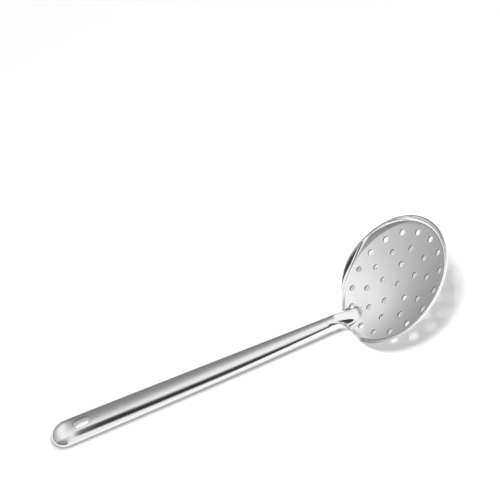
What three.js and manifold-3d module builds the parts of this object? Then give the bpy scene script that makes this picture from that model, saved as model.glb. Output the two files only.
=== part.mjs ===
// Perforated skimmer in polished stainless sheet: a shallow punched dish with a turned-up rim, whose
// collar sits over the end of a channel handle and is held to it by plug welds on the hidden side.
// Millimetres. X runs along the handle towards the dish, Z is up, and the handle's edges lie on z = 0.

import * as THREE from 'three';
import { mergeVertices } from 'three/addons/utils/BufferGeometryUtils.js';
import Module from 'manifold-3d';

// Sheet and lap joint
const sheetThickness = 1.0;
const lapClearance = 0.3;
const lapLength = 6.5;
const shoulderLength = 1.2;
const weldDiameter = 4;
const weldClearance = 0.3;
const weldAngles = [42, 138];

// Handle: a channel with its round back up, wide and low at the hanging end, narrow and tall at the neck
const handleLength = 218;
const endHalfWidth = 12.3;
const neckHalfWidth = 5.9;
const endHeight = 6.7;
const neckHeight = 8.9;
const taperBow = 0.5;
const endArchPower = 2.6;
const neckArchPower = 2.8;
const endRoundLength = 12;
const endRoundPower = 2;
const endDomeLength = 24;
const endDomePower = 3;
const slotLength = 13;
const slotWidth = 8;
const slotFromEnd = 25;

// Dish: a shallow bowl tilted up from the handle, whose rim curves up to a steep edge
const dishTilt = 25.3;
const creaseRadius = 44.2;
const dishDepth = 5.2;
const rimBend = 6.2;
const rimSteepness = 77;

// Neck: collar over the handle, and the ridge that runs out on the dish floor
const collarLength = 15.2;
const neckLift = 1.95;
const crownShare = 0.82;
const neckFillet = 12;
const ridgeHalfWidth = 6.4;
const ridgeNoseStart = 3;
const ridgeNoseLength = 26;
const ridgeSoftness = 3;
const standStartAngle = 5;
const standEndAngle = 13;
const rimStartAngle = 18;
const rimFullAngle = 62;

// Holes: one in the middle and three rings, the outer one left wider open at the neck
const holeDiameter = 4.6;
const patternTurn = 3;
const holeRings = [
  { radius: 15.2, count: 5, neckGap: 72, turn: 52 },
  { radius: 27.1, count: 10, neckGap: 36, turn: 18 },
  { radius: 39.4, count: 16, neckGap: 30.8, turn: 0 },
];

// Mesh fineness
const archSteps = 24;
const domeSteps = 10;
const shankSteps = 7;
const dishSteps = 64;
const filletSteps = 5;
const collarSteps = 3;
const seamSteps = 10;
const rimSteps = 5;
const holeSides = 16;
const ringShares = [0.3, 0.5, 0.62, 0.7, 0.77, 0.84, 0.9, 0.95, 1];

const wasm = await Module();
wasm.setup();

const { lerp, clamp, degToRad, smoothstep } = THREE.MathUtils;
const tilt = degToRad(dishTilt);
const along = new THREE.Vector3(Math.cos(tilt), 0, Math.sin(tilt));
const across = new THREE.Vector3(0, 1, 0);
const normal = new THREE.Vector3(-Math.sin(tilt), 0, Math.cos(tilt));
const dishCurve = dishDepth / creaseRadius ** 2;
const dishCentre = new THREE.Vector3(collarLength, 0, neckLift)
  .addScaledVector(along, creaseRadius)
  .addScaledVector(normal, -dishDepth);

const lap = sheetThickness + lapClearance;
const crownHalfWidth = crownShare * neckHalfWidth;
const cut = 4 * sheetThickness + 2 * neckHeight;

// Open surface to closed sheet

// Joins a list of triangles into one indexed surface without slivers.
function surfaceFrom(triangles) {
  const points = new THREE.BufferGeometry().setFromPoints(triangles.flat());
  const merged = mergeVertices(points, 1e-3);
  const index = Array.from(merged.index.array);
  const kept = [];
  for (let i = 0; i < index.length; i += 3) {
    const [a, b, c] = index.slice(i, i + 3);
    if (a !== b && b !== c && c !== a) kept.push(a, b, c);
  }
  merged.setIndex(kept);
  return merged;
}

// Two triangles for a quad whose corners run counterclockwise seen from the show side.
function quad(a, b, c, d) {
  return [[a, b, c], [a, c, d]];
}

// Triangles for a grid of rows, each row a list of points.
function gridTriangles(rows, closed = false) {
  const triangles = [];
  for (let i = 0; i + 1 < rows.length; i += 1) {
    const count = rows[i].length;
    const last = closed ? count : count - 1;
    for (let j = 0; j < last; j += 1) {
      const next = (j + 1) % count;
      triangles.push(...quad(rows[i][j], rows[i][next], rows[i + 1][next], rows[i + 1][j]));
    }
  }
  return triangles;
}

// Gives an open surface its thickness on the side away from the show face. Edges that stand on the table
// keep standing on it.
function thicken(surface, thickness) {
  surface.computeVertexNormals();
  const outer = surface.attributes.position;
  const normals = surface.attributes.normal;
  const index = Array.from(surface.index.array);
  const count = outer.count;
  const edges = new Map();
  for (let i = 0; i < index.length; i += 3) {
    for (let k = 0; k < 3; k += 1) {
      const from = index[i + k];
      const to = index[i + (k + 1) % 3];
      edges.set(`${from},${to}`, [from, to]);
    }
  }
  const border = [...edges.values()].filter(([from, to]) => !edges.has(`${to},${from}`));
  const positions = new Float32Array(count * 6);
  const point = new THREE.Vector3();
  const direction = new THREE.Vector3();
  for (let i = 0; i < count; i += 1) {
    point.fromBufferAttribute(outer, i).toArray(positions, i * 3);
    direction.fromBufferAttribute(normals, i);
    const standing = Math.abs(point.z) < 1e-4;
    if (standing) direction.setZ(0).normalize();
    point.addScaledVector(direction, -thickness);
    point.z = Math.max(point.z, 0);
    point.toArray(positions, (count + i) * 3);
  }
  const triangles = [...index];
  for (let i = 0; i < index.length; i += 3) {
    triangles.push(count + index[i], count + index[i + 2], count + index[i + 1]);
  }
  for (const [from, to] of border) {
    triangles.push(to, from, count + from, to, count + from, count + to);
  }
  const solid = new THREE.BufferGeometry();
  solid.setAttribute('position', new THREE.BufferAttribute(positions, 3));
  solid.setIndex(triangles);
  return toSolid(solid);
}

function toSolid(geometry) {
  const bare = geometry.clone();
  bare.deleteAttribute('normal');
  bare.deleteAttribute('uv');
  const merged = mergeVertices(bare, 1e-4);
  return new wasm.Manifold(new wasm.Mesh({
    numProp: 3,
    vertProperties: new Float32Array(merged.attributes.position.array),
    triVerts: new Uint32Array(merged.index.array),
  }));
}

function toGeometry(solid) {
  const mesh = solid.getMesh();
  const geometry = new THREE.BufferGeometry();
  geometry.setAttribute('position', new THREE.BufferAttribute(mesh.vertProperties, 3));
  geometry.setIndex(new THREE.BufferAttribute(mesh.triVerts, 1));
  geometry.computeVertexNormals();
  return geometry;
}

// A punch: a round bar centred on a point, along a direction.
function punch(point, direction, radius, length) {
  const bar = new THREE.CylinderGeometry(radius, radius, length, holeSides);
  const turn = new THREE.Quaternion().setFromUnitVectors(across, direction);
  bar.applyQuaternion(turn).translate(point.x, point.y, point.z);
  return toSolid(bar);
}

// Handle

// Share of the full size left at a distance from the tip, for an end that closes over a given length.
function closing(distance, length, power) {
  const reach = clamp(1 - distance / length, 0, 1);
  return (1 - reach ** power) ** (1 / power);
}

function handleArch(x) {
  const share = clamp((x + handleLength) / handleLength, 0, 1);
  const taper = lerp(share, share * share, taperBow);
  const tip = x + handleLength;
  return {
    halfWidth: lerp(endHalfWidth, neckHalfWidth, taper) * closing(tip, endRoundLength, endRoundPower),
    height: lerp(endHeight, neckHeight, taper) * closing(tip, endDomeLength, endDomePower),
    power: lerp(endArchPower, neckArchPower, share),
  };
}

// Point on a soft-cornered arch; the angle runs from one foot, over the crest at 90, to the other at 180.
function archPoint(x, arch, angle) {
  const turn = degToRad(angle);
  const side = Math.cos(turn);
  const rise = Math.max(Math.sin(turn), 0);
  const bend = 2 / arch.power;
  const y = arch.halfWidth * Math.sign(side) * Math.abs(side) ** bend;
  const z = angle <= 0 || angle >= 180 ? 0 : arch.height * rise ** bend;
  return new THREE.Vector3(x, y, z);
}

function handleStations() {
  const stations = [];
  for (let i = 0; i < domeSteps; i += 1) {
    const turn = (i / domeSteps) * Math.PI / 2;
    stations.push(-handleLength + endDomeLength * (1 - Math.cos(turn)));
  }
  for (let i = 0; i <= shankSteps; i += 1) {
    stations.push(lerp(-handleLength + endDomeLength, -lapClearance, i / shankSteps));
  }
  return stations;
}

// Channel through the given stations, set in from the show surface by an inset.
function channel(stations, inset, thickness) {
  const rows = stations.map((x) => {
    const full = handleArch(x);
    const arch = { ...full, halfWidth: full.halfWidth - inset, height: full.height - inset };
    const row = [];
    for (let j = 0; j <= archSteps; j += 1) row.push(archPoint(x, arch, (180 * j) / archSteps));
    return row;
  });
  return thicken(surfaceFrom(gridTriangles(rows)), thickness);
}

// Hanging slot: an oblong with round ends, cut straight down.
function slotCutter() {
  const radius = slotWidth / 2;
  const reach = slotLength / 2 - radius;
  const outline = new THREE.Shape();
  outline.absarc(reach, 0, radius, -Math.PI / 2, Math.PI / 2, false);
  outline.absarc(-reach, 0, radius, Math.PI / 2, 1.5 * Math.PI, false);
  outline.closePath();
  const cutter = new THREE.ExtrudeGeometry(outline, { depth: cut, bevelEnabled: false, curveSegments: 10 });
  cutter.translate(slotFromEnd - handleLength, 0, 0);
  return toSolid(cutter);
}

// Place and direction of a weld on the lap, square to the arch.
function weldSeat(angle) {
  const x = lapLength / 2;
  const arch = { halfWidth: neckHalfWidth - lap, height: neckHeight - lap, power: neckArchPower };
  const before = archPoint(x, arch, angle - 1);
  const after = archPoint(x, arch, angle + 1);
  const run = after.sub(before);
  const direction = new THREE.Vector3(0, run.z, -run.y).normalize();
  return { point: archPoint(x, arch, angle), direction };
}

// Dish

// Point of the bowl's own surface, at a place in the dish's plane.
function bowlPoint(s, y) {
  const height = dishCurve * (s * s + y * y);
  return dishCentre.clone()
    .addScaledVector(along, s)
    .addScaledVector(across, y)
    .addScaledVector(normal, height);
}

// Place along the dish's axis where the bowl's surface, carried on past its edge, reaches a given x.
function placeAt(x, y) {
  const a = dishCurve * Math.sin(tilt);
  const b = Math.cos(tilt);
  const c = dishCentre.x - x - a * y * y;
  return (b - Math.sqrt(b * b + 4 * a * c)) / (2 * a);
}

// Fillet between the collar's side and the dish's round edge, in the dish's plane.
const filletCentreY = crownHalfWidth + neckFillet;
const filletCentreS = -Math.sqrt((creaseRadius + neckFillet) ** 2 - filletCentreY ** 2);
const filletAngle = Math.atan2(filletCentreY, -filletCentreS);

// Half width of the crown between the two sides of the neck.
function neckHalf(s) {
  const reach = clamp(s - filletCentreS, 0, neckFillet * Math.cos(filletAngle));
  return filletCentreY - Math.sqrt(neckFillet ** 2 - reach ** 2);
}

// Height share of the arch at a share of its half width; past the crown it runs straight down to its foot.
function archShare(width) {
  const power = neckArchPower;
  if (width <= crownShare) return (1 - width ** power) ** (1 / power);
  const edge = 1 - crownShare ** power;
  const slope = crownShare ** (power - 1) * edge ** (1 / power - 1);
  return edge ** (1 / power) - slope * (width - crownShare);
}

// The higher of two heights, with the inner corner between them rounded.
function softHigher(a, b, softness) {
  const near = Math.max(softness - Math.abs(a - b), 0);
  return Math.max(a, b) + (near * near) / (4 * softness);
}

// Show surface of dish, ridge and collar crown at a place in the dish's plane.
function crownPoint(s, y) {
  const point = bowlPoint(s, y);
  const nose = clamp((point.x - ridgeNoseStart) / ridgeNoseLength, 0, 1);
  const crest = neckHeight * (1 - nose * nose);
  const half = lerp(neckHalfWidth, ridgeHalfWidth, smoothstep(point.x, 0, ridgeNoseStart));
  point.z = softHigher(crest * archShare(Math.abs(y) / half), point.z, ridgeSoftness);
  return point;
}

// One half of the crown's outline, from the collar's corner round to the far end of the dish.
function halfOutline() {
  const cornerS = placeAt(0, crownHalfWidth);
  const places = [];
  for (let i = 0; i < collarSteps; i += 1) {
    const s = lerp(cornerS, filletCentreS, i / collarSteps);
    places.push({ s, y: crownHalfWidth, outS: 0, outY: 1 });
  }
  for (let i = 0; i < filletSteps; i += 1) {
    const turn = lerp(Math.PI / 2, filletAngle, i / filletSteps);
    const outS = -Math.cos(turn);
    const outY = Math.sin(turn);
    places.push({
      s: filletCentreS - neckFillet * outS, y: filletCentreY - neckFillet * outY, outS, outY,
    });
  }
  for (let i = 0; i <= dishSteps / 2; i += 1) {
    const turn = lerp(filletAngle, Math.PI, i / (dishSteps / 2));
    const outS = -Math.cos(turn);
    const outY = Math.sin(turn);
    places.push({ s: creaseRadius * outS, y: creaseRadius * outY, outS, outY });
  }
  return places;
}

// Section of the rim: an arc that leaves the bowl's slope smoothly and ends at its steepest.
function rimSection(share) {
  const start = Math.atan(2 * dishCurve * creaseRadius);
  const slope = lerp(start, degToRad(rimSteepness), share);
  return {
    run: rimBend * (Math.sin(slope) - Math.sin(start)),
    rise: rimBend * (Math.cos(start) - Math.cos(slope)),
  };
}

// The border outside the crown: the turned-up rim round the dish, and the turned-down side of the collar.
function borderPoint(place, base, share) {
  const angle = THREE.MathUtils.radToDeg(Math.atan2(Math.abs(place.y), -place.s));
  const rim = smoothstep(angle, rimStartAngle, rimFullAngle);
  const section = rimSection(share);
  const footStart = Math.acos(crownShare ** (neckArchPower / 2));
  const foot = footStart * (1 - share);
  const sideWidth = neckHalf(place.s) / crownShare;
  const sideRun = sideWidth * Math.cos(foot) ** (2 / neckArchPower) - crownShare * sideWidth;
  const onTable = 1 - smoothstep(angle, standStartAngle, standEndAngle);
  const edge = Math.max(base.z, 1.4 * sheetThickness) * (1 - onTable);
  const sideDrop = share === 1 ? 0 : (Math.sin(foot) / Math.sin(footStart)) ** (2 / neckArchPower);
  const out = along.clone().multiplyScalar(place.outS).addScaledVector(across, place.outY);
  const point = base.clone();
  point.addScaledVector(out, lerp(sideRun, section.run, rim));
  point.addScaledVector(normal, rim * section.rise);
  point.z -= (1 - rim) * (base.z - edge) * (1 - sideDrop);
  point.z = onTable === 1 && share === 1 ? 0 : Math.max(point.z, 0);
  return point;
}

function headSheet() {
  const half = halfOutline();
  const mirrored = half.slice(0, -1).reverse()
    .map((place) => ({ ...place, y: -place.y, outY: -place.outY }));
  const outline = [...half, ...mirrored];
  const seam = [];
  for (let i = 1; i < seamSteps; i += 1) {
    const y = lerp(-crownHalfWidth, crownHalfWidth, i / seamSteps);
    seam.push({ s: placeAt(0, y), y });
  }
  const round = [...outline, ...seam];
  const rings = ringShares.map((share) => (
    round.map((place) => crownPoint(share * place.s, share * place.y))
  ));
  const middle = crownPoint(0, 0);
  const triangles = [];
  round.forEach((place, j) => {
    triangles.push([middle, rings[0][(j + 1) % round.length], rings[0][j]]);
  });
  triangles.push(...gridTriangles(rings, true));
  const border = [];
  for (let k = 0; k <= rimSteps; k += 1) {
    const share = k / rimSteps;
    border.push(outline.map((place) => {
      const base = crownPoint(place.s, place.y);
      return share === 0 ? base : borderPoint(place, base, share);
    }));
  }
  triangles.push(...gridTriangles(border));
  return thicken(surfaceFrom(triangles), sheetThickness);
}

// Angles of a ring's holes, spread evenly on either side of the gap that faces the neck.
function ringAngles({ count, neckGap, turn }) {
  const step = (360 - neckGap) / (count - 1);
  return Array.from({ length: count }, (_, i) => 180 + neckGap / 2 + turn + patternTurn + i * step);
}

function holePunches() {
  const places = [{ s: 0, y: 0 }];
  for (const ring of holeRings) {
    for (const angle of ringAngles(ring)) {
      const turn = degToRad(angle);
      places.push({ s: ring.radius * Math.cos(turn), y: ring.radius * Math.sin(turn) });
    }
  }
  return places.map(({ s, y }) => punch(crownPoint(s, y), normal, holeDiameter / 2, cut));
}

// Pieces

const polished = { color: 0xd2d3d1, roughness: 0.12, metalness: 1 };
const satin = { color: 0xb9babb, roughness: 0.28, metalness: 1 };
const welded = { color: 0x8f8f8c, roughness: 0.55, metalness: 1 };

function piece(name, solid, finish) {
  const mesh = new THREE.Mesh(toGeometry(solid), new THREE.MeshStandardMaterial(finish));
  mesh.name = name;
  return mesh;
}

const shank = channel(handleStations(), 0, sheetThickness);
const shoulder = channel([-shoulderLength, -lapClearance], 0, lap + sheetThickness);
const spigot = channel([-shoulderLength, lapLength], lap, sheetThickness);
const seats = weldAngles.map(weldSeat);
const weldReach = 6 * sheetThickness;
const weldHole = weldDiameter / 2 + weldClearance;
let handle = shank.add(shoulder).add(spigot).subtract(slotCutter());
for (const seat of seats) {
  handle = handle.subtract(punch(seat.point, seat.direction, weldHole, weldReach));
}

let head = headSheet();
for (const hole of holePunches()) head = head.subtract(hole);

const skimmer = new THREE.Group();
skimmer.add(piece('skimmer_head', head, satin));
skimmer.add(piece('handle', handle, polished));
seats.forEach((seat, i) => {
  const bar = punch(seat.point, seat.direction, weldDiameter / 2, weldReach);
  const nugget = spigot.intersect(bar);
  skimmer.add(piece(`plug_weld_${i + 1}`, nugget, welded));
});

// The origin is under the middle of the whole length.
const box = new THREE.Box3().setFromObject(skimmer);
skimmer.position.x = -(box.min.x + box.max.x) / 2;

export default skimmer;
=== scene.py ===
import math
import bpy
import numpy as np
from mathutils import Euler, Matrix, Vector


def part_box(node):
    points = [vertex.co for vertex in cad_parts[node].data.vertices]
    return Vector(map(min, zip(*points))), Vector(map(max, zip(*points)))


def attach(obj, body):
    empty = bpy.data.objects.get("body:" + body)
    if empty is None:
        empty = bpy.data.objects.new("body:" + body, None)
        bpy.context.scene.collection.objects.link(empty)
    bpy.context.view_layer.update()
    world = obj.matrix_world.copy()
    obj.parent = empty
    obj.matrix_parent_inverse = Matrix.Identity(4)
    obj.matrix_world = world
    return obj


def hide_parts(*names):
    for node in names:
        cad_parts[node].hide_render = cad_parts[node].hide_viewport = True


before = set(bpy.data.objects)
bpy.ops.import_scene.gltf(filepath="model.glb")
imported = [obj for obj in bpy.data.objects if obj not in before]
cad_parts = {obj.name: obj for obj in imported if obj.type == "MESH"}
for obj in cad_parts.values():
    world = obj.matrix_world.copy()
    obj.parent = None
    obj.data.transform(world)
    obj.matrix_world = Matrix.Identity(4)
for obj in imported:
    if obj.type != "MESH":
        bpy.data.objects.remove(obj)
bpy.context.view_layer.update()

MM = 0.001

# Sheet and joint, in millimetres and degrees
SHEET = 1.0
SEAM = 0.06
LAP_CLEARANCE = 0.3
LAP_LENGTH = 6.5
SHOULDER_LENGTH = 1.2
SHOULDER_INSET = 0.3
SHOULDER_CLEAR = 0.05
SHOULDER_MIDDLE = -0.5
SHOULDER_BACK = 0.02
SPIGOT_MIDDLE = 1.0
JOIN_OVERLAP = 0.1
WELD_HOLE = 4.6
WELD_ANGLES = (42.0, 138.0)

# Handle
HANDLE_LENGTH = 218.0
END_HALF, NECK_HALF = 12.3, 5.9
END_HEIGHT, NECK_HEIGHT = 6.7, 8.9
TAPER_BOW = 0.5
ARCH_END, ARCH = 2.6, 2.8
ROUND_LENGTH, ROUND_POWER = 12.0, 2.0
DOME_LENGTH, DOME_POWER = 24.0, 3.0
SLOT_LENGTH, SLOT_WIDTH, SLOT_FROM_END = 13.0, 8.0, 25.0

# Dish, neck and ridge
TILT = math.radians(25.3)
CREASE, DEPTH = 44.2, 5.2
RIM_BEND, RIM_STEEP = 6.2, math.radians(77)
COLLAR_LENGTH, NECK_LIFT = 15.2, 1.95
CROWN_SHARE, FILLET = 0.82, 12.0
RIDGE_HALF, RIDGE_FLARE, RIDGE_SOFT = 6.4, 14.0, 3.0
NOSE_START, NOSE_LENGTH = 3.0, 26.0
LEAST_EDGE = 1.4 * SHEET
ON_FLOOR = 1e-4
STAND_START, STAND_END = 5.0, 13.0
RIM_START, RIM_FULL = 18.0, 62.0

# Holes: radius, count, gap that faces the neck and turn of each ring
HOLE = 4.6
PATTERN_TURN = 3.0
RINGS = ((15.2, 5, 72.0, 52.0), (27.1, 10, 36.0, 18.0), (39.4, 16, 30.8, 0.0))

# Cutters: how far each reaches to either side of the sheet
HOLE_REACH = 12.0
WELD_REACH = 3.0
SLOT_LOW, SLOT_HIGH = 0.5, 20.0

# Fineness of the meshes
DOME_ROWS, SHAFT_ROWS, HANDLE_POINTS = 60, 89, 121
CHANNEL_POINTS = 81
COLLAR_STEPS, FILLET_STEPS, DISH_STEPS = 14, 26, 130
SEAM_POINTS = 40
FLOOR_START, FLOOR_MIDDLE = 0.05, 0.6
INNER_ROWS, OUTER_ROWS, BORDER_ROWS = 14, 46, 16
HOLE_SIDES, WELD_SIDES, SLOT_STEPS = 48, 32, 32
SHARP_ANGLE = math.radians(35)

# Finish: the dish's floor is satin, inside its crease and away from the neck
CREASE_BLEND = 0.3
SATIN_START, SATIN_FULL = -41.0, -32.0
FINE_SCALE, FINE_DETAIL = 900.0, 6.0
BROAD_SCALE, BROAD_DETAIL = 35.0, 3.0
TONE_LOW, TONE_HIGH = 0.97, 1.03
BUMP_HEIGHT = 0.02

# Floor, in metres, and the painted shade where the handle touches it
FLOOR_SIZE = 3.0
FLOOR_GLOW = 0.3
PAPER_LOW, PAPER_HIGH = 0.9, 0.94
PAPER_SCALE, PAPER_ROUGH = 400.0, 0.9
TOUCH_REACH, TOUCH_POWER, TOUCH_SAMPLES = 0.004, 2.0, 16
TOUCH_FULL, TOUCH_END = 6.0, 18.0

# Lamp, in metres and watts
KEY_PLACE = (0.0, -0.3, 2.4)
KEY_TARGET = (0.05, 0.0, 0.0)
KEY_SIZE = 0.75
KEY_POWER = 45.0
SHADE_GREY = 0.1

# Camera: place from the seam in millimetres, turn in degrees, focal length and frame in pixels
CAMERA_PLACE = (30.66, -724.25, 808.67)
CAMERA_TURN = (42.902, 17.9936, -13.7865)
CAMERA_FOCAL, CAMERA_FRAME = 1500, 500
SENSOR = 36.0
SIGHT = 20.0

lap = SHEET + LAP_CLEARANCE
crown_half = CROWN_SHARE * NECK_HALF
along = np.array([math.cos(TILT), 0, math.sin(TILT)])
across = np.array([0, 1.0, 0])
normal = np.array([-math.sin(TILT), 0, math.cos(TILT)])
curve = DEPTH / CREASE ** 2
centre = np.array([COLLAR_LENGTH, 0, NECK_LIFT]) + CREASE * along - DEPTH * normal
fillet_y = crown_half + FILLET
fillet_s = -math.sqrt((CREASE + FILLET) ** 2 - fillet_y ** 2)
fillet_angle = math.atan2(fillet_y, -fillet_s)
box_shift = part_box("handle")[0].x / MM + HANDLE_LENGTH


def smooth(value, start, end):
    t = np.clip((value - start) / (end - start), 0, 1)
    return t * t * (3 - 2 * t)


def closing(distance, length, power):
    reach = np.clip(1 - distance / length, 0, 1)
    return (1 - reach ** power) ** (1 / power)


def arch_size(x):
    """Half width, height and power of the handle's arch at x."""
    share = np.clip((x + HANDLE_LENGTH) / HANDLE_LENGTH, 0, 1)
    taper = share + (share * share - share) * TAPER_BOW
    tip = x + HANDLE_LENGTH
    half = (END_HALF + (NECK_HALF - END_HALF) * taper) * closing(tip, ROUND_LENGTH, ROUND_POWER)
    height = (END_HEIGHT + (NECK_HEIGHT - END_HEIGHT) * taper) * closing(tip, DOME_LENGTH, DOME_POWER)
    return half, height, ARCH_END + (ARCH - ARCH_END) * share


def bowl(s, y):
    """Point of the tilted bowl at s along and y across its plane."""
    h = curve * (s * s + y * y)
    return centre + s[..., None] * along + y[..., None] * across + h[..., None] * normal


def place_at(x, y):
    """The bowl's s at a given x and y."""
    a, b = curve * math.sin(TILT), math.cos(TILT)
    c = centre[0] - x - a * y * y
    return (b - np.sqrt(b * b + 4 * a * c)) / (2 * a)


def neck_half(s):
    reach = np.clip(s - fillet_s, 0, FILLET * math.cos(fillet_angle))
    return fillet_y - np.sqrt(FILLET ** 2 - reach ** 2)


def arch_share(width):
    """Height of the arch across its width, carried on as a straight slope past the crown."""
    edge = 1 - CROWN_SHARE ** ARCH
    slope = CROWN_SHARE ** (ARCH - 1) * edge ** (1 / ARCH - 1)
    top = (1 - np.minimum(width, CROWN_SHARE) ** ARCH) ** (1 / ARCH)
    return top - slope * np.maximum(width - CROWN_SHARE, 0)


def soft_higher(a, b, softness):
    near = np.maximum(softness - np.abs(a - b), 0)
    return np.maximum(a, b) + near * near / (4 * softness)


def crown(s, y):
    """The bowl with the ridge that runs out on it from the neck."""
    p = bowl(s, y)
    nose = np.clip((p[..., 0] - NOSE_START) / NOSE_LENGTH, 0, 1)
    crest = NECK_HEIGHT * (1 - nose * nose)
    half = NECK_HALF + (RIDGE_HALF - NECK_HALF) * smooth(p[..., 0], 0, RIDGE_FLARE)
    p[..., 2] = soft_higher(crest * arch_share(np.abs(y) / half), p[..., 2], RIDGE_SOFT)
    return p


def outline():
    """Edge of the crown from one side of the seam round the dish to the other, with its way out."""
    corner = float(place_at(0.0, crown_half))
    rows = []
    for i in range(COLLAR_STEPS):
        rows.append((corner + (fillet_s - corner) * i / COLLAR_STEPS, crown_half, 0.0, 1.0))
    for i in range(FILLET_STEPS):
        t = math.pi / 2 + (fillet_angle - math.pi / 2) * i / FILLET_STEPS
        out_s, out_y = -math.cos(t), math.sin(t)
        rows.append((fillet_s - FILLET * out_s, fillet_y - FILLET * out_y, out_s, out_y))
    for i in range(DISH_STEPS + 1):
        t = fillet_angle + (math.pi - fillet_angle) * i / DISH_STEPS
        out_s, out_y = -math.cos(t), math.sin(t)
        rows.append((CREASE * out_s, CREASE * out_y, out_s, out_y))
    half = np.array(rows)
    mirror = half[:-1][::-1] * np.array([1, -1, 1, -1])
    return np.vstack([half, mirror])


def rim_section(share):
    start = math.atan(2 * curve * CREASE)
    slope = start + (RIM_STEEP - start) * share
    return RIM_BEND * (math.sin(slope) - math.sin(start)), RIM_BEND * (math.cos(start) - math.cos(slope))


def border(place, share):
    """Row of the border outside the crown: the collar's side at the neck, the rim round the dish."""
    s, y, out_s, out_y = place.T
    base = crown(s, y)
    angle = np.degrees(np.arctan2(np.abs(y), -s))
    rim = smooth(angle, RIM_START, RIM_FULL)
    rim_run, rim_rise = rim_section(share)
    start = math.acos(CROWN_SHARE ** (ARCH / 2))
    foot = start * (1 - share)
    side = neck_half(s) / CROWN_SHARE
    side_run = side * math.cos(foot) ** (2 / ARCH) - CROWN_SHARE * side
    on_table = 1 - smooth(angle, STAND_START, STAND_END)
    edge = np.maximum(base[:, 2], LEAST_EDGE) * (1 - on_table)
    drop = (max(math.sin(foot), 0) / math.sin(start)) ** (2 / ARCH) if share < 1 else 0.0
    out = out_s[:, None] * along + out_y[:, None] * across
    p = base + out * (side_run + (rim_run - side_run) * rim)[:, None]
    p = p + normal * (rim * rim_rise)[:, None]
    p[:, 2] -= (1 - rim) * (base[:, 2] - edge) * (1 - drop)
    p[:, 2] = np.where((on_table == 1) & (share == 1), 0, np.maximum(p[:, 2], 0))
    return p


def offset_sheet(points, faces, thickness):
    """Closes an open surface into a sheet, on the side away from the show face."""
    p = np.asarray(points, float)
    norm = np.zeros_like(p)
    for f in faces:
        q = p[list(f)]
        n = np.cross(q[2] - q[0], q[-1] - q[1])
        for i in f:
            norm[i] += n
    if norm[:, 2].sum() < 0:
        norm = -norm
        faces = [tuple(reversed(f)) for f in faces]
    on_floor = np.abs(p[:, 2]) < ON_FLOOR
    norm[on_floor, 2] = 0
    norm /= np.linalg.norm(norm, axis=1)[:, None]
    inner = p - thickness * norm
    inner[:, 2] = np.maximum(inner[:, 2], 0)
    edges = {}
    for f in faces:
        for a, b in zip(f, f[1:] + f[:1]):
            edges[(a, b)] = True
    n = len(p)
    closed = list(faces) + [tuple(n + i for i in reversed(f)) for f in faces]
    closed += [(b, a, n + a, n + b) for a, b in edges if (b, a) not in edges]
    return np.vstack([p, inner]), closed


def grid_faces(rows, cols, first=0, closed=False):
    faces = []
    for i in range(rows - 1):
        for j in range(cols if closed else cols - 1):
            k = (j + 1) % cols
            a, b = first + i * cols, first + (i + 1) * cols
            faces.append((a + j, a + k, b + k, b + j))
    return faces


def arch_rows(stations, inset, cols):
    """Points of the channel's arch at each station, set in from its show surface."""
    turn = np.linspace(0, math.pi, cols)
    c, r = np.cos(turn), np.maximum(np.sin(turn), 0)
    r[0] = r[-1] = 0
    half, height, power = arch_size(stations)
    y = np.sign(c) * np.abs(c) ** (2 / power[:, None]) * (half - inset)[:, None]
    z = r ** (2 / power[:, None]) * (height - inset)[:, None]
    return np.stack([np.repeat(stations[:, None], cols, 1), y, z], 2)


def handle_mesh():
    turn = np.linspace(0, math.pi / 2, DOME_ROWS + 1)[1:]
    dome = -HANDLE_LENGTH + DOME_LENGTH * (1 - np.cos(turn))
    stations = np.concatenate([dome, np.linspace(dome[-1], -SEAM, SHAFT_ROWS + 1)[1:]])
    points = [[-HANDLE_LENGTH, 0, 0]] + arch_rows(stations, 0, HANDLE_POINTS).reshape(-1, 3).tolist()
    faces = [(0, 1 + j + 1, 1 + j) for j in range(HANDLE_POINTS - 1)]
    return points, faces + grid_faces(len(stations), HANDLE_POINTS, 1)


def channel_mesh(stations, inset):
    rows = arch_rows(np.array(stations), inset, CHANNEL_POINTS)
    return rows.reshape(-1, 3).tolist(), grid_faces(len(stations), CHANNEL_POINTS)


def head_mesh():
    """Rings from the dish's middle out to the crown's edge, then the border's rows."""
    place = outline()
    y = np.linspace(-crown_half, crown_half, SEAM_POINTS + 2)[1:-1]
    seam = np.stack([place_at(0.0, y), y, 0 * y, 0 * y], 1)
    ring = np.vstack([place, seam])
    inner = np.linspace(FLOOR_START, FLOOR_MIDDLE, INNER_ROWS)
    outer = np.linspace(FLOOR_MIDDLE, 1.0, OUTER_ROWS)[1:]
    shares = np.concatenate([inner, outer])
    n = len(ring)
    points = [crown(np.zeros(1), np.zeros(1))[0]]
    for share in shares:
        points += list(crown(share * ring[:, 0], share * ring[:, 1]))
    faces = [(0, 1 + j, 1 + (j + 1) % n) for j in range(n)]
    faces += [tuple(reversed(f)) for f in grid_faces(len(shares), n, 1, True)]
    edge = 1 + (len(shares) - 1) * n
    m = len(place)
    previous = list(range(edge, edge + m))
    for k in range(1, BORDER_ROWS + 1):
        first = len(points)
        points += list(border(place, k / BORDER_ROWS))
        now = list(range(first, first + m))
        for j in range(m - 1):
            faces.append((previous[j], now[j], now[j + 1], previous[j + 1]))
        previous = now
    return points, [tuple(reversed(f)) for f in faces]


def circle(middle, radius, first, second, sides):
    turns = [2 * math.pi * k / sides for k in range(sides)]
    return [middle + radius * (math.cos(a) * first + math.sin(a) * second) for a in turns]


def prism(low, high):
    """Closed prism between two rings that run anticlockwise as seen from the high one."""
    n = len(low)
    faces = [tuple(reversed(range(n))), tuple(range(n, 2 * n))]
    faces += [(k, (k + 1) % n, n + (k + 1) % n, n + k) for k in range(n)]
    return [*low, *high], faces


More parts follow.
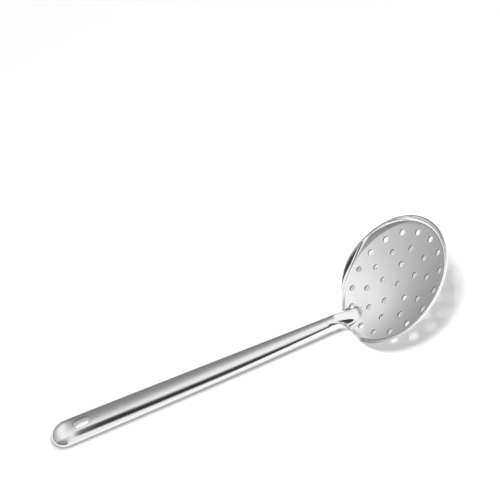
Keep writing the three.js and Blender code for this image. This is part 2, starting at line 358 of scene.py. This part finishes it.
def gathered(meshes):
    points, faces = [], []
    for more_points, more_faces in meshes:
        faces += [tuple(len(points) + i for i in f) for f in more_faces]
        points += more_points
    return points, faces


def round_bar(middle, axis, reach, radius, first, second, sides):
    ends = [circle(middle + end * axis, radius, first, second, sides) for end in (-reach, reach)]
    return prism(*ends)


def hole_bars():
    places = [(0.0, 0.0)]
    for radius, count, gap, turn in RINGS:
        pitch = (360 - gap) / (count - 1)
        for i in range(count):
            a = math.radians(180 + gap / 2 + turn + PATTERN_TURN + i * pitch)
            places.append((radius * math.cos(a), radius * math.sin(a)))
    bars = []
    for s, y in places:
        middle = crown(np.array([s]), np.array([y]))[0]
        bars.append(round_bar(middle, normal, HOLE_REACH, HOLE / 2, along, across, HOLE_SIDES))
    return gathered(bars)


def slot_bar():
    radius, reach = SLOT_WIDTH / 2, SLOT_LENGTH / 2 - SLOT_WIDTH / 2
    middle = SLOT_FROM_END - HANDLE_LENGTH
    ring = []
    for end in (1, -1):
        for k in range(SLOT_STEPS + 1):
            a = -end * math.pi / 2 + math.pi * k / SLOT_STEPS
            ring.append((middle + end * reach + radius * math.cos(a), radius * math.sin(a)))
    return prism([(x, y, SLOT_LOW) for x, y in ring], [(x, y, SLOT_HIGH) for x, y in ring])


def weld_bars():
    half, height = NECK_HALF - lap, NECK_HEIGHT - lap
    lengthwise = np.array([1.0, 0, 0])
    bars = []
    for angle in WELD_ANGLES:
        t = np.radians(np.array([angle - 1, angle, angle + 1]))
        y = half * np.sign(np.cos(t)) * np.abs(np.cos(t)) ** (2 / ARCH)
        z = height * np.sin(t) ** (2 / ARCH)
        out = np.array([0, z[2] - z[0], y[0] - y[2]])
        out = out / np.linalg.norm(out)
        middle = np.array([LAP_LENGTH / 2, y[1], z[1]])
        side = np.cross(out, lengthwise)
        bars.append(round_bar(middle, out, WELD_REACH, WELD_HOLE / 2, lengthwise, side, WELD_SIDES))
    return gathered(bars)


class Graph:
    """Short ways to add nodes to one node tree."""

    def __init__(self, tree):
        self.nodes = tree.nodes
        self.links = tree.links

    def fill(self, node, inputs):
        """Links each input that is given a socket, and sets each that is given a constant."""
        for key, value in inputs.items():
            if isinstance(value, bpy.types.NodeSocket):
                self.links.new(value, node.inputs[key])
            else:
                node.inputs[key].default_value = value

    def add(self, kind, inputs, **settings):
        node = self.nodes.new("ShaderNode" + kind)
        for key, value in settings.items():
            setattr(node, key, value)
        self.fill(node, inputs)
        return node

    def ranged(self, value, low, high, start=0.0, end=1.0, shape="SMOOTHSTEP"):
        inputs = {"Value": value, "From Min": low, "From Max": high, "To Min": start, "To Max": end}
        return self.add("MapRange", inputs, interpolation_type=shape).outputs["Result"]

    def maths(self, operation, *values):
        return self.add("Math", dict(enumerate(values)), operation=operation).outputs["Value"]

    def vector(self, operation, *values):
        return self.add("VectorMath", dict(enumerate(values)), operation=operation).outputs

    def mix(self, factor, low, high):
        return self.add("Mix", {"Factor": factor, "A": low, "B": high}).outputs["Result"]

    def blend(self, factor, low, high, kind="MIX"):
        inputs = {"Factor": factor, "A": low, "B": high}
        return self.add("Mix", inputs, data_type="RGBA", blend_type=kind).outputs["Result"]

    def noise(self, vector, scale, detail):
        return self.add("TexNoise", {"Vector": vector, "Scale": scale, "Detail": detail}).outputs["Fac"]

    def ramp(self, value, stops):
        node = self.add("ValToRGB", {"Fac": value})
        while len(node.color_ramp.elements) < len(stops):
            node.color_ramp.elements.new(0.5)
        for element, (position, grey) in zip(node.color_ramp.elements, stops):
            element.position = position
            element.color = (grey, grey, grey, 1)
        return node.outputs["Color"]


def dish_finish(graph, place, grain, edge_rough, floor_rough):
    """Roughness that is satin on the dish's floor and polished on its rim and neck."""
    middle = (centre + np.array([box_shift, 0, 0])) * MM
    offset = graph.vector("SUBTRACT", place, tuple(middle))["Vector"]
    run = graph.vector("DOT_PRODUCT", offset, tuple(along))["Value"]
    wide = graph.vector("DOT_PRODUCT", offset, tuple(across))["Value"]
    flat = graph.add("CombineXYZ", {"X": run, "Y": wide}).outputs["Vector"]
    radius = graph.vector("LENGTH", flat)["Value"]
    inside = graph.ranged(radius, (CREASE + CREASE_BLEND) * MM, (CREASE - CREASE_BLEND) * MM)
    clear = graph.ranged(run, SATIN_START * MM, SATIN_FULL * MM)
    share = graph.maths("MULTIPLY", inside, clear)
    return graph.mix(share, edge_rough, graph.ranged(grain, 0.0, 1.0, *floor_rough))


def steel(name, base, rough, grain, wave, floor_rough=None):
    """Steel with fine grain in its roughness and bump, and a slow change of tone."""
    material = bpy.data.materials.new(name)
    material.use_nodes = True
    graph = Graph(material.node_tree)
    place = graph.add("TexCoord", {}).outputs["Object"]
    stretched = graph.add("Mapping", {"Vector": place, "Scale": grain}).outputs["Vector"]
    fine = graph.noise(stretched, FINE_SCALE, FINE_DETAIL)
    broad = graph.noise(place, BROAD_SCALE, BROAD_DETAIL)
    tone = graph.ranged(broad, 0.0, 1.0, TONE_LOW, TONE_HIGH, "LINEAR")
    roughness = graph.ranged(fine, 0.0, 1.0, *rough, "LINEAR")
    if floor_rough:
        roughness = dish_finish(graph, place, fine, roughness, floor_rough)
    bump = graph.add("Bump", {"Strength": wave, "Distance": BUMP_HEIGHT * MM, "Height": fine})
    graph.fill(graph.nodes["Principled BSDF"], {
        "Metallic": 1.0,
        "Base Color": graph.blend(1.0, (*base, 1), tone, "MULTIPLY"),
        "Roughness": roughness,
        "Normal": bump.outputs["Normal"],
    })
    return material


polished = steel("polished_steel", (0.86, 0.86, 0.85), (0.03, 0.09), (0.15, 1, 1), 0.1)
satin = steel("satin_steel", (0.9, 0.9, 0.9), (0.06, 0.12), (0.6, 1, 1), 0.12, (0.2, 0.3))
# Walls of the holes, the slot and the weld holes: steel painted dark, a painted shade standing in for
# the shadowed floor they reflect; the rougher finish is the cut edge's own
cut_steel_painted_shade = steel("cut_steel_painted_shade", (0.2, 0.2, 0.2), (0.4, 0.6), (1, 1, 1), 0.4)
weld = steel("weld_steel", (0.5, 0.5, 0.49), (0.35, 0.6), (1, 1, 1), 0.6)


# Pieces
def mesh_object(name, points, faces, material):
    shift = np.array([box_shift, 0, 0])
    mesh = bpy.data.meshes.new(name)
    mesh.from_pydata(((np.asarray(points) + shift) * MM).tolist(), [], faces)
    mesh.validate()
    mesh.update()
    mesh.materials.append(material)
    obj = bpy.data.objects.new(name, mesh)
    bpy.context.scene.collection.objects.link(obj)
    return obj


def sheet_object(name, mesh, thickness, material):
    return mesh_object(name, *offset_sheet(*mesh, thickness), material)


def combine(obj, steps):
    """Joins and cuts the given pieces, then shades the result smooth with crisp edges."""
    for operation, other in steps:
        mod = obj.modifiers.new(operation.lower(), "BOOLEAN")
        mod.object = other
        mod.operation = operation
        mod.solver = "MANIFOLD"
        mod.material_mode = "TRANSFER"
    bpy.context.view_layer.update()
    graph = bpy.context.evaluated_depsgraph_get()
    done = bpy.data.meshes.new_from_object(obj.evaluated_get(graph))
    obj.modifiers.clear()
    obj.data = done
    for _, other in steps:
        bpy.data.objects.remove(other)
    done.polygons.foreach_set("use_smooth", [True] * len(done.polygons))
    done.set_sharp_from_angle(angle=SHARP_ANGLE)


head = sheet_object("head_skin", head_mesh(), SHEET, satin)
combine(head, [("DIFFERENCE", mesh_object("hole_bars", *hole_bars(), cut_steel_painted_shade))])

shoulder_stations = [-SHOULDER_LENGTH, SHOULDER_MIDDLE, -SEAM - SHOULDER_BACK]
shoulder_depth = lap + SHEET - SHOULDER_INSET - SHOULDER_CLEAR
spigot_stations = [-SHOULDER_LENGTH + JOIN_OVERLAP, SPIGOT_MIDDLE, LAP_LENGTH]
grip = sheet_object("handle_skin", handle_mesh(), SHEET, polished)
shoulder_mesh = channel_mesh(shoulder_stations, SHOULDER_INSET)
shoulder = sheet_object("shoulder", shoulder_mesh, shoulder_depth, polished)
spigot = sheet_object("spigot", channel_mesh(spigot_stations, lap), SHEET, polished)
combine(grip, [
    ("UNION", shoulder),
    ("UNION", spigot),
    ("DIFFERENCE", mesh_object("slot_bar", *slot_bar(), cut_steel_painted_shade)),
    ("DIFFERENCE", mesh_object("weld_bars", *weld_bars(), cut_steel_painted_shade)),
])

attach(head, "root")
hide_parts("skimmer_head")
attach(grip, "root")
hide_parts("handle")
for name in ("plug_weld_1", "plug_weld_2"):
    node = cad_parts[name]
    node.data.materials.clear()
    node.data.materials.append(weld)


# Floor
def white_paper():
    """Paper with fine specks, with a painted contact shade that darkens it where the handle touches it.
    """
    material = bpy.data.materials.new("white_paper")
    material.use_nodes = True
    graph = Graph(material.node_tree)
    speck = graph.add("TexNoise", {"Scale": PAPER_SCALE}).outputs["Fac"]
    tone = graph.ranged(speck, 0.0, 1.0, PAPER_LOW, PAPER_HIGH, "LINEAR")
    # Painted contact shade: ambient occlusion darkens the paper's colour and glow beside the handle, but
    # not beside the dish
    near = graph.add("AmbientOcclusion", {"Distance": TOUCH_REACH}, samples=TOUCH_SAMPLES).outputs["AO"]
    place = graph.add("TexCoord", {}).outputs["Object"]
    x = graph.add("SeparateXYZ", {"Vector": place}).outputs["X"]
    end, full = [(box_shift + at) * MM / FLOOR_SIZE for at in (TOUCH_END, TOUCH_FULL)]
    beside = graph.ranged(x, end, full, shape="LINEAR")
    painted_contact_shade = graph.mix(beside, 1.0, graph.maths("POWER", near, TOUCH_POWER))
    shaded = graph.maths("MULTIPLY", tone, painted_contact_shade)
    path = graph.add("LightPath", {}).outputs
    seen = path["Is Camera Ray"]
    for kind in ("Is Glossy Ray", "Is Transmission Ray"):
        seen = graph.maths("MAXIMUM", seen, path[kind])
    graph.fill(graph.nodes["Principled BSDF"], {
        "Roughness": PAPER_ROUGH,
        "Specular IOR Level": 0.0,
        "Base Color": shaded,
        "Emission Color": shaded,
        "Emission Strength": graph.maths("MULTIPLY", seen, FLOOR_GLOW),
    })
    return material


bpy.ops.mesh.primitive_plane_add(size=1.0, location=(0.0, 0.0, 0.0))
floor = bpy.context.object
floor.name = "floor"
floor.scale = (FLOOR_SIZE, FLOOR_SIZE, 1.0)
floor.data.materials.append(white_paper())


# Surroundings
def studio():
    """Bright and dark parts of a studio, which the steel reflects."""
    world = bpy.data.worlds.new("studio")
    world.use_nodes = True
    world.node_tree.nodes.clear()
    graph = Graph(world.node_tree)
    place = graph.add("TexCoord", {}).outputs["Generated"]
    axes = graph.add("SeparateXYZ", {"Vector": place}).outputs
    side, deep, rise = axes["X"], axes["Y"], axes["Z"]

    # Angle over the object, from the near horizon at 0 to the far horizon at 180 degrees
    turn = graph.maths("ARCTAN2", rise, graph.maths("MULTIPLY", deep, -1.0))
    over = graph.maths("MULTIPLY", turn, 180 / math.pi)
    sweep = graph.ramp(graph.maths("DIVIDE", over, 180.0), [
        (0.0, 1.0), (0.53, 1.0), (0.585, 0.95), (0.64, 0.86),
        (0.695, 0.66), (0.75, 0.31), (0.84, 0.26), (1.0, 0.25),
    ])
    far_left = graph.ramp(rise, [(0.0, 0.16), (0.15, 0.24), (0.42, 0.58), (0.56, 1.0), (0.9, 1.0)])
    far_end = graph.ramp(rise, [(0.0, 0.3), (0.15, 0.36), (0.4, 0.48), (0.62, 0.64), (0.95, 0.9)])
    far_right = graph.ramp(rise, [(0.0, 0.5), (0.3, 0.8), (0.6, 1.0), (0.95, 1.0)])
    dark = graph.ramp(rise, [(0.0, 0.06), (1.0, 0.03)])
    left = graph.ramp(rise, [(0.0, 0.24), (0.5, 0.3), (0.8, 0.36), (1.0, 0.7)])

    # A narrow dark upright between the lights on the near side, leaning to the left as it rises
    lean = graph.maths("ADD", graph.maths("DIVIDE", over, 25.0), graph.maths("MULTIPLY", side, 16.0))
    away = graph.maths("ABSOLUTE", graph.maths("SUBTRACT", lean, 0.2))
    upright = graph.maths("MULTIPLY", graph.ranged(away, 1.5, 0.45), graph.ranged(side, -0.26, -0.19))
    upright = graph.maths("MULTIPLY", upright, graph.ranged(over, 112.0, 100.0))

    middle = graph.blend(upright, sweep, dark)
    far_side = graph.blend(graph.ranged(side, -0.4, -0.66), far_left, far_end)
    left_side = graph.blend(graph.ranged(over, 88.0, 102.0), left, far_side)
    right_side = graph.blend(graph.ranged(over, 54.0, 66.0), dark, far_right)
    around = graph.blend(graph.ranged(side, -0.2, -0.36), middle, left_side)
    around = graph.blend(graph.ranged(side, 0.05, 0.13), around, right_side)

    # White where the camera sees past the floor, and a low even grey for what falls on the floor
    path = graph.add("LightPath", {}).outputs
    around = graph.blend(path["Is Camera Ray"], around, (1, 1, 1, 1))
    around = graph.blend(path["Is Diffuse Ray"], around, (SHADE_GREY, SHADE_GREY, SHADE_GREY, 1))
    back = graph.add("Background", {"Color": around}).outputs["Background"]
    graph.add("OutputWorld", {"Surface": back})
    return world


def softbox(name, place, target, size, power):
    light = bpy.data.lights.new(name, "AREA")
    light.shape = "RECTANGLE"
    light.size = size
    light.size_y = size
    light.energy = power
    obj = bpy.data.objects.new(name, light)
    obj.location = place
    obj.rotation_euler = (Vector(target) - Vector(place)).to_track_quat("-Z", "Y").to_euler()
    bpy.context.scene.collection.objects.link(obj)
    return obj


bpy.context.scene.world = studio()
key = softbox("key", KEY_PLACE, KEY_TARGET, KEY_SIZE, KEY_POWER)
key.visible_glossy = False

# Camera
lens = bpy.data.cameras.new("camera")
lens.sensor_width = SENSOR
lens.sensor_fit = "HORIZONTAL"
lens.lens = SENSOR * CAMERA_FOCAL / CAMERA_FRAME
lens.clip_end = SIGHT
camera = bpy.data.objects.new("camera", lens)
bpy.context.scene.collection.objects.link(camera)
place = (Vector(CAMERA_PLACE) + Vector((box_shift, 0, 0))) * MM
turn = Euler([math.radians(angle) for angle in CAMERA_TURN])
camera.matrix_world = Matrix.Translation(place) @ turn.to_matrix().to_4x4()
bpy.context.scene.camera = camera
bpy.context.scene.view_settings.view_transform = "Standard"
